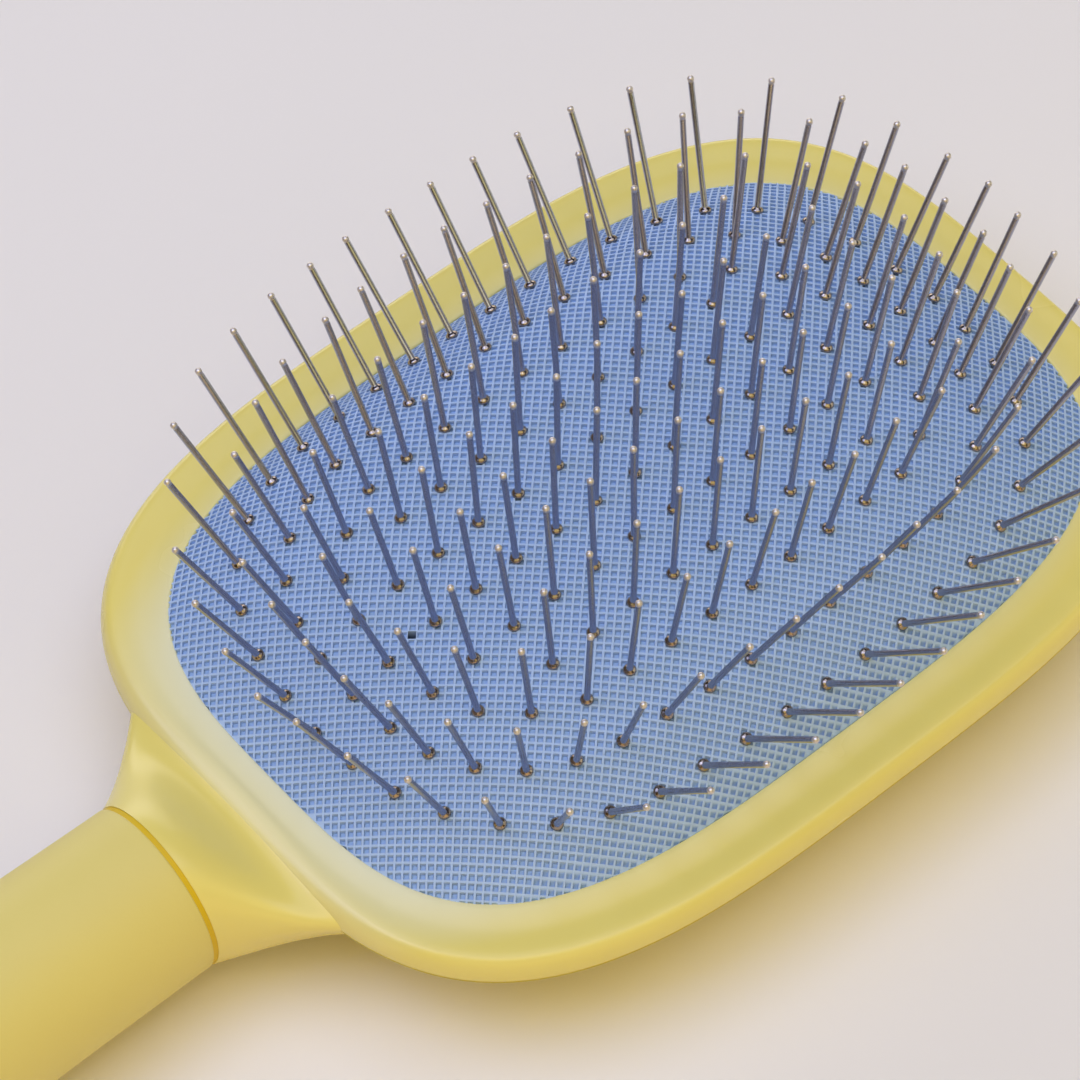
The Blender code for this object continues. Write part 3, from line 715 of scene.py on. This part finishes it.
# by ring: pins in each corner, their reach (along, across), how much the long rows bow inwards,
# and how the end columns are stretched, bowed and pinched, in steps of the pins
CORNER_PINS = {3: 2, 4: 4, 5: 5}
CORNER_SHARES = {3: (0.95, 0.90), 4: (0.99, 0.965), 5: (0.99, 0.975)}
ROW_BOW_SHARES = {3: 0.126, 4: 0.21, 5: 0.21}
END_SHARES = {3: (0.16, 0.17, 0.02), 4: (0.02, 0.04, 0.07), 5: (-0.03, 0.09, 0.10)}
CORNER_RISE = 1.09
OUTER_ROW_INSET_SHARE = 0.07
PIN_SEED = 40
PIN_SHARP_ANGLE = 60.0
ROOT_SHARE = 0.6  # radius of the pin's root in the rubber, of its collar's
COLLAR_ANGLES = (-50, -25, 0, 20, 40, 58)
TIP_ANGLES = (-40, -15, 10, 35, 60, 80)


def pin_places(pins, ring):
    """Where the pins of a ring stand, from the head's centre; ring 0 is the middle row."""
    column = (PAD_HALF[0] - pins.margin_ends) / (ROW_REACH + RING_COUNT - 1)
    row = (PAD_HALF[1] - pins.margin_sides) / RING_COUNT
    if ring == 0:
        return [(i * column, 0.0) for i in range(-MIDDLE_ROW_REACH, MIDDLE_ROW_REACH + 1)]
    inset = OUTER_ROW_INSET_SHARE * row if ring == RING_COUNT else 0.0
    row_bow = ROW_BOW_SHARES.get(ring, 0.0) * row
    row_y = ring * row - inset
    stretch, bow, pinch = END_SHARES.get(ring, (0.0, 0.0, 0.0))
    end_x = (ROW_REACH + ring - 1 + stretch) * column
    end_bow = bow * column
    places = []
    for side in (-1, 1):
        for i in range(-ROW_REACH, ROW_REACH + 1):
            places.append((i * column, side * (row_y - row_bow * (i / ROW_REACH) ** 2)))
        for j in (-1, 0, 1) if ring > 1 else (0,):
            places.append((side * (end_x - end_bow * abs(j)), j * row * (1 - pinch)))
    corners = CORNER_PINS.get(ring, 0)
    for n in range(1, corners + 1):
        angle = math.pi / 2 * n / (corners + 1)
        along, across = CORNER_SHARES[ring]
        rise = math.sin(angle) ** CORNER_RISE
        x = ROW_REACH * column + along * math.cos(angle) * (end_x - end_bow - ROW_REACH * column)
        y = row + across * rise * (row_y - row_bow - row)
        places += [(x, y), (-x, y), (x, -y), (-x, -y)]
    return places


SHAFT, COLLAR, TIP = 0.0, 1.0, 2.0


def pin_section(pins):
    """The pin's outline, as (along, radius, kind), from its root to the top of its ball."""
    collar, tip = pins.collar_radius, pins.tip_radius
    section = [(-pins.foot, collar * ROOT_SHARE, COLLAR)]
    for angle in map(math.radians, COLLAR_ANGLES):
        along = pins.collar_lift + pins.collar_height * math.sin(angle)
        section.append((along, collar * math.cos(angle), COLLAR))
    section.append((pins.collar_lift + pins.collar_height, pins.radius, SHAFT))
    centre = pins.height - tip
    section.append((centre - tip, pins.radius, SHAFT))
    for angle in map(math.radians, TIP_ANGLES):
        section.append((centre + tip * math.sin(angle), tip * math.cos(angle), TIP))
    return section


def lean_axis(cushion, pins, x, y, chance):
    """Direction of a pin: square to the cushion or a little further out, and a little astray."""
    step = pins.radius
    slope_x = float(crown(cushion, x + step, y) - crown(cushion, x - step, y)) / (2 * step)
    slope_y = float(crown(cushion, x, y + step) - crown(cushion, x, y - step)) / (2 * step)
    steep = math.hypot(slope_x, slope_y)
    up = Vector((0.0, 0.0, 1.0))
    if steep > 0:
        angle = pins.lean * math.atan(steep)
        downhill = Vector((-slope_x / steep, -slope_y / steep, 0.0))
        up = downhill * math.sin(angle) + up * math.cos(angle)
    stray = Vector((chance.gauss(0, pins.stray), chance.gauss(0, pins.stray), 0.0))
    return (up + stray).normalized()


def add_pin(points, faces, root, up, section, sides):
    """Add a pin to the points and faces: its section turned about the line up from its root."""
    across = up.cross(Vector((0.0, 1.0, 0.0))).normalized()
    other = up.cross(across)
    first = len(points)
    for along, radius, _ in section:
        for angle in full_turn(sides):
            spoke = across * math.cos(angle) + other * math.sin(angle)
            points.append(root + up * along + spoke * radius)
    for low in range(first, len(points) - sides, sides):
        for k in range(sides):
            a, b = low + k, low + (k + 1) % sides
            faces.append((a, a + sides, b + sides, b))
    faces.append(tuple(range(first, first + sides)))
    faces.append(tuple(range(len(points) - sides, len(points)))[::-1])


def build_pin_ring(cushion, pins, ring):
    """All pins of one ring, as one mesh."""
    chance = random.Random(PIN_SEED + ring)
    section = pin_section(pins)
    points, faces = [], []
    for x, y in pin_places(pins, ring):
        up = lean_axis(cushion, pins, x, y, chance)
        root = Vector((HEAD_X + x, y, EDGE_Z + float(crown(cushion, x, y))))
        add_pin(points, faces, root, up, section, pins.facets)
    thing = face_outwards(add_mesh("pins_" + RING_BODIES[ring], points, faces, PIN_SHARP_ANGLE))
    kinds = np.repeat([kind for _, _, kind in section], pins.facets)
    for name, kind in (("collar", COLLAR), ("tip", TIP)):
        mark(thing, name, np.tile(kinds == kind, len(points) // len(kinds)))
    return thing


# Finishes

TONE_DETAIL = 4.0
GRAIN_DETAIL = 2.0
BUMP_STRENGTH = 0.5
TIP_ROUGHNESS = 0.45
COLLAR_ROUGHNESS = 0.15


def new_group(name, inputs, outputs):
    """A shader group whose inputs and outputs are given by name and kind."""
    group = bpy.data.node_groups.new(name, "ShaderNodeTree")
    for way, sockets in (("INPUT", inputs), ("OUTPUT", outputs)):
        for label, kind in sockets.items():
            group.interface.new_socket(label, in_out=way, socket_type="NodeSocket" + kind)
    return group, group.nodes.new("NodeGroupInput"), group.nodes.new("NodeGroupOutput")


def set_inputs(node, values):
    for name, value in values.items():
        node.inputs[name].default_value = value


def add_node(nodes, kind, values=None, **settings):
    """A new shader node with these settings, and then these values in its inputs."""
    node = nodes.new("ShaderNode" + kind)
    for name, value in settings.items():
        setattr(node, name, value)
    set_inputs(node, values or {})
    return node


def connect(links, *wires):
    """Link nodes; a wire is an output's node and name, then an input's node and name."""
    for source, output, target, name in wires:
        links.new(source.outputs[output], target.inputs[name])


def moulding_tone():
    """Shader group: faint mottling of a moulded surface, as a colour and a roughness."""
    if "moulding_tone" in bpy.data.node_groups:
        return bpy.data.node_groups["moulding_tone"]
    inputs = {"Colour": "Color", "Deep Colour": "Color", "Scale": "Float", "Roughness": "Float",
              "Spread": "Float"}
    outputs = {"Colour": "Color", "Roughness": "Float"}
    group, given, made = new_group("moulding_tone", inputs, outputs)
    nodes = group.nodes
    place = add_node(nodes, "TexCoord")
    noise = add_node(nodes, "TexNoise", {"Detail": TONE_DETAIL})
    tone = add_node(nodes, "Mix", data_type="RGBA")
    centred = add_node(nodes, "Math", {1: 0.5}, operation="SUBTRACT")
    rough = add_node(nodes, "Math", operation="MULTIPLY_ADD")
    connect(
        group.links,
        (place, "Object", noise, "Vector"),
        (given, "Scale", noise, "Scale"),
        (noise, "Fac", tone, "Factor"),
        (given, "Colour", tone, "A"),
        (given, "Deep Colour", tone, "B"),
        (noise, "Fac", centred, 0),
        (centred, 0, rough, 0),
        (given, "Spread", rough, 1),
        (given, "Roughness", rough, 2),
        (tone, "Result", made, "Colour"),
        (rough, 0, made, "Roughness"),
    )
    return group


def surface_grain():
    """Shader group: fine grain of a moulded or plated surface, as a height."""
    if "surface_grain" in bpy.data.node_groups:
        return bpy.data.node_groups["surface_grain"]
    group, given, made = new_group("surface_grain", {"Scale": "Float"}, {"Height": "Float"})
    place = add_node(group.nodes, "TexCoord")
    grain = add_node(group.nodes, "TexNoise", {"Detail": GRAIN_DETAIL})
    connect(
        group.links,
        (place, "Object", grain, "Vector"),
        (given, "Scale", grain, "Scale"),
        (grain, "Fac", made, "Height"),
    )
    return group


def finish_material(name, colour, deep, *, roughness, spread, grain_scale, grain_depth,
                    tone_scale=40.0, metallic=0.0, specular=0.5):
    """A material whose tone, roughness and grain come from the shared groups."""
    material = bpy.data.materials.new(name)
    material.use_nodes = True
    nodes = material.node_tree.nodes
    shader = nodes["Principled BSDF"]
    tone = add_node(nodes, "Group", node_tree=moulding_tone())
    set_inputs(tone, {"Colour": (*colour, 1.0), "Deep Colour": (*deep, 1.0), "Scale": tone_scale,
                      "Roughness": roughness, "Spread": spread})
    grain = add_node(nodes, "Group", node_tree=surface_grain())
    grain.inputs["Scale"].default_value = grain_scale
    bump = add_node(nodes, "Bump", {"Strength": BUMP_STRENGTH, "Distance": grain_depth})
    connect(
        material.node_tree.links,
        (tone, "Colour", shader, "Base Color"),
        (tone, "Roughness", shader, "Roughness"),
        (grain, "Height", bump, "Height"),
        (bump, "Normal", shader, "Normal"),
    )
    set_inputs(shader, {"Metallic": metallic, "Specular IOR Level": specular})
    return material


def blended(material, name, attribute, value):
    """Blend the shader's input of that name to a value where the mesh's attribute says so."""
    nodes, links = material.node_tree.nodes, material.node_tree.links
    target = nodes["Principled BSDF"].inputs[name]
    plain = target.links[0].from_socket
    mask = add_node(nodes, "Attribute", attribute_name=attribute)
    kind = "RGBA" if target.type == "RGBA" else "FLOAT"
    blend = add_node(nodes, "Mix", {"B": value}, data_type=kind)
    links.new(mask.outputs["Fac"], blend.inputs["Factor"])
    links.new(plain, blend.inputs["A"])
    links.new(blend.outputs["Result"], target)


def tinted(material, attribute, colour):
    blended(material, "Base Color", attribute, (*colour, 1.0))


def darker(colour, share):
    return [c * share for c in colour]


def yellow_gloss(rim):
    """The finish that the rim and the shell share."""
    if "glossy_yellow" in bpy.data.materials:
        return bpy.data.materials["glossy_yellow"]
    material = finish_material(
        "glossy_yellow", rim.colour, rim.deep, roughness=0.27, spread=0.02,
        grain_scale=1500.0, grain_depth=0.001 * MM, tone_scale=25.0)
    # Tint the lip: the blue flange showing through it, and a painted reflection of a window at the
    # neck's end.
    tinted(material, "over_flange", rim.painted_reflection_and_flange_colour)
    return material


def yellow_grip(handle):
    return finish_material(
        "soft_yellow_grip", handle.colour, handle.deep, roughness=0.55, spread=0.08,
        grain_scale=3000.0, grain_depth=0.03 * MM)


def seam_yellow(handle):
    return finish_material(
        "golden_seam", handle.seam, handle.seam, roughness=0.60, spread=0.05,
        grain_scale=2000.0, grain_depth=0.01 * MM)


def white_plastic(handle):
    return finish_material(
        "white_liner", handle.inner, handle.inner, roughness=0.50, spread=0.06,
        grain_scale=1500.0, grain_depth=0.02 * MM)


def nickel(pins):
    material = finish_material(
        "nickel_plate", pins.colour, darker(pins.colour, 0.9), roughness=0.23, spread=0.06,
        grain_scale=4000.0, grain_depth=0.0005 * MM, tone_scale=400.0, metallic=1.0)
    # Painted shade and dark reflection on the collars.
    tinted(material, "collar", pins.collar_painted_shade_colour)
    tinted(material, "tip", pins.tip_colour)
    blended(material, "Roughness", "tip", TIP_ROUGHNESS)
    blended(material, "Roughness", "collar", COLLAR_ROUGHNESS)
    return material


def cushion_rubber(cushion):
    material = finish_material(
        "gridded_rubber", cushion.colour, darker(cushion.colour, 0.94), roughness=0.58,
        spread=0.10, grain_scale=5000.0, grain_depth=0.02 * MM, tone_scale=90.0, specular=0.35)
    # Painted shade in the dimples.
    tinted(material, "sunk", cushion.deep)
    # Painted shade down the air hole.
    tinted(material, "under", cushion.under)
    return material


def dress(thing, material):
    thing.data.materials.clear()
    thing.data.materials.append(material)


# Stage

LIGHT_DISTANCE = 1.2
# setting, name, size in metres, azimuth and elevation in degrees as seen from the head
LIGHTS = (
    ("key", "overhead", (1.2, 1.2), 100.0, 89.9),
    ("side", "side_window", (0.8, 0.8), 150.0, 55.0),
    ("warm", "warm_lamp", (1.8, 0.8), 238.0, 55.0),
    ("far", "far_reflector", (1.4, 0.5), 60.0, 14.0),
    ("near", "near_reflector", (1.4, 0.5), 240.0, 14.0),
    ("right", "right_reflector", (1.4, 0.5), 330.0, 14.0),
)
SENSOR_WIDTH = 36.0
FLOOR_SEGMENTS = 128
FLOOR_ROUGHNESS = 0.7
FLOOR_SPECULAR = 0.2
GLOW_FULL_BELOW = math.radians(5)
GLOW_NONE_ABOVE = math.radians(35)


def build_floor(stage):
    """A round pale sheet under the brush; past its edge the camera sees the plain wall."""
    radius = stage.floor_size / 2
    points = [(math.cos(a) * radius, math.sin(a) * radius, 0.0) for a in full_turn(FLOOR_SEGMENTS)]
    floor = add_mesh("floor", points, [range(FLOOR_SEGMENTS)])
    material = bpy.data.materials.new("pale_floor")
    material.use_nodes = True
    set_inputs(material.node_tree.nodes["Principled BSDF"], {
        "Base Color": (*stage.floor, 1.0),
        "Roughness": FLOOR_ROUGHNESS,
        "Specular IOR Level": FLOOR_SPECULAR,
    })
    dress(floor, material)


def direction(azimuth, elevation):
    return Vector((math.cos(azimuth) * math.cos(elevation), math.sin(azimuth) * math.cos(elevation),
                   math.sin(elevation)))


def area_light(name, power, colour, size, toward):
    """A soft rectangular light in that direction from the head, facing the head."""
    light = bpy.data.lights.new(name, "AREA")
    light.shape = "RECTANGLE"
    light.size, light.size_y = size
    light.energy = power
    light.color = colour
    thing = bpy.data.objects.new(name, light)
    thing.location = HEAD_CENTRE + toward * LIGHT_DISTANCE
    thing.rotation_mode = "QUATERNION"
    thing.rotation_quaternion = toward.to_track_quat("Z", "Y")
    thing.visible_camera = False
    bpy.context.scene.collection.objects.link(thing)


def build_room(stage):
    """Golden light from near the floor, darkness overhead, and a plain wall for the camera."""
    world = bpy.data.worlds.new("dim_room")
    bpy.context.scene.world = world
    world.use_nodes = True
    nodes = world.node_tree.nodes
    place = add_node(nodes, "TexCoord")
    split = add_node(nodes, "SeparateXYZ")
    rise = add_node(nodes, "MapRange", interpolation_type="SMOOTHSTEP")
    set_inputs(rise, {"From Min": math.sin(GLOW_FULL_BELOW), "From Max": math.sin(GLOW_NONE_ABOVE)})
    blend = add_node(nodes, "Mix", data_type="RGBA")
    set_inputs(blend, {"A": (*stage.low_room, 1.0), "B": (*stage.high_room, 1.0)})
    room = nodes["Background"]
    room.inputs["Strength"].default_value = stage.fill
    wall = add_node(nodes, "Background", {"Color": (*stage.wall, 1.0)})
    seen = add_node(nodes, "LightPath")
    choice = add_node(nodes, "MixShader")
    connect(
        world.node_tree.links,
        (place, "Generated", split, 0),
        (split, "Z", rise, "Value"),
        (rise, "Result", blend, "Factor"),
        (blend, "Result", room, "Color"),
        (seen, "Is Camera Ray", choice, "Fac"),
        (room, 0, choice, 1),
        (wall, 0, choice, 2),
        (choice, 0, nodes["World Output"], "Surface"),
    )


def build_lights(stage):
    build_room(stage)
    for setting, name, size, azimuth, elevation in LIGHTS:
        toward = direction(math.radians(azimuth), math.radians(elevation))
        area_light(name, getattr(stage, setting), getattr(stage, setting + "_colour"), size, toward)


def build_camera(stage):
    camera = bpy.data.cameras.new("camera")
    camera.lens = stage.lens
    camera.sensor_width = SENSOR_WIDTH
    camera.shift_x, camera.shift_y = stage.shift_x, stage.shift_y
    thing = bpy.data.objects.new("camera", camera)
    ahead = direction(stage.azimuth, -stage.elevation)
    aim = HEAD_CENTRE + Vector(stage.aim)
    turn = ahead.to_track_quat("-Z", "Y").to_matrix() @ Matrix.Rotation(stage.roll, 3, "Z")
    thing.matrix_world = Matrix.Translation(aim - ahead * stage.distance) @ turn.to_4x4()
    bpy.context.scene.collection.objects.link(thing)
    bpy.context.scene.camera = thing
    bpy.context.scene.view_settings.view_transform = "Standard"


# Operators and panel

class HAIRBRUSH_OT_rim(Operator):
    """Build the rim that frames the cushion"""
    bl_idname = "hairbrush.rim"
    bl_label = "Rim"

    def execute(self, context):
        rim = context.scene.hairbrush_rim
        thing = build_rim(rim)
        dress(thing, yellow_gloss(rim))
        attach(thing, BODY)
        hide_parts("rim_frame")
        return {"FINISHED"}


class HAIRBRUSH_OT_shell(Operator):
    """Build the back shell and its neck"""
    bl_idname = "hairbrush.shell"
    bl_label = "Back shell and neck"

    def execute(self, context):
        rim, shell = context.scene.hairbrush_rim, context.scene.hairbrush_shell
        material = yellow_gloss(rim)
        for thing in (build_bowl(rim, shell), build_neck(rim, shell)):
            dress(thing, material)
            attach(thing, BODY)
            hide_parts("back_shell")
        return {"FINISHED"}


class HAIRBRUSH_OT_handle(Operator):
    """Build the handle's grip, its end and the ring in the seam"""
    bl_idname = "hairbrush.handle"
    bl_label = "Handle"

    def execute(self, context):
        shell, handle = context.scene.hairbrush_shell, context.scene.hairbrush_handle
        grip = yellow_grip(handle)
        seam = seam_yellow(handle)
        made = (
            (build_sleeve(shell, handle), grip, "handle_sleeve", "yellow_matte_grip"),
            (build_cap(shell, handle), grip, "end_cap", "yellow_matte_grip"),
            (build_seam_ring(), seam, "joint_ring", "deep_yellow_ring"),
        )
        for thing, material, node, slot in made:
            dress(thing, material)
            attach(thing, BODY)
            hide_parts(node)
        return {"FINISHED"}


class HAIRBRUSH_OT_inner_parts(Operator):
    """Finish the hidden ring under the cushion and the handle's liner"""
    bl_idname = "hairbrush.inner_parts"
    bl_label = "Inner parts"

    def execute(self, context):
        material = white_plastic(context.scene.hairbrush_handle)
        for node in ("pad_carrier", "handle_liner"):
            dress(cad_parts[node], material)
        return {"FINISHED"}


class HAIRBRUSH_OT_cushion(Operator):
    """Build the rubber cushion with its pressed grid"""
    bl_idname = "hairbrush.cushion"
    bl_label = "Cushion"

    def execute(self, context):
        cushion = context.scene.hairbrush_cushion
        thing = build_cushion(cushion)
        dress(thing, cushion_rubber(cushion))
        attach(thing, BODY)
        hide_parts("cushion_skirt")
        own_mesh(thing)
        return {"FINISHED"}


class HAIRBRUSH_OT_pins(Operator):
    """Build the six rings of metal pins"""
    bl_idname = "hairbrush.pins"
    bl_label = "Pins"

    def execute(self, context):
        cushion, pins = context.scene.hairbrush_cushion, context.scene.hairbrush_pins
        material = nickel(pins)
        for ring, (body, node) in enumerate(zip(RING_BODIES, RING_NODES)):
            thing = build_pin_ring(cushion, pins, ring)
            dress(thing, material)
            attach(thing, body)
            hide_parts(node)
        return {"FINISHED"}


class HAIRBRUSH_OT_stage(Operator):
    """Set up the pale floor, the soft light and the camera"""
    bl_idname = "hairbrush.stage"
    bl_label = "Floor, light and camera"

    def execute(self, context):
        stage = context.scene.hairbrush_stage
        build_floor(stage)
        build_lights(stage)
        build_camera(stage)
        return {"FINISHED"}


class HAIRBRUSH_PT_panel(Panel):
    """Lists the steps that build the brush"""
    bl_idname = "HAIRBRUSH_PT_panel"
    bl_label = "Hair Brush"
    bl_space_type = "VIEW_3D"
    bl_region_type = "UI"
    bl_category = "Hair Brush"

    def draw(self, context):
        for step in STEPS:
            self.layout.operator(step.bl_idname)


SETTINGS = (
    ("hairbrush_rim", RimSettings),
    ("hairbrush_shell", ShellSettings),
    ("hairbrush_handle", HandleSettings),
    ("hairbrush_cushion", CushionSettings),
    ("hairbrush_pins", PinSettings),
    ("hairbrush_stage", StageSettings),
)
STEPS = (
    HAIRBRUSH_OT_rim,
    HAIRBRUSH_OT_shell,
    HAIRBRUSH_OT_handle,
    HAIRBRUSH_OT_inner_parts,
    HAIRBRUSH_OT_cushion,
    HAIRBRUSH_OT_pins,
    HAIRBRUSH_OT_stage,
)


def register():
    for name, group in SETTINGS:
        bpy.utils.register_class(group)
        setattr(bpy.types.Scene, name, PointerProperty(type=group))
    for item in STEPS + (HAIRBRUSH_PT_panel,):
        bpy.utils.register_class(item)


def unregister():
    for item in reversed(STEPS + (HAIRBRUSH_PT_panel,)):
        bpy.utils.unregister_class(item)
    for name, group in reversed(SETTINGS):
        delattr(bpy.types.Scene, name)
        bpy.utils.unregister_class(group)


def main():
    register()
    bpy.ops.hairbrush.rim()
    bpy.ops.hairbrush.shell()
    bpy.ops.hairbrush.handle()
    bpy.ops.hairbrush.inner_parts()
    bpy.ops.hairbrush.cushion()
    bpy.ops.hairbrush.pins()
    bpy.ops.hairbrush.stage()


if __name__ == "__main__":
    main()
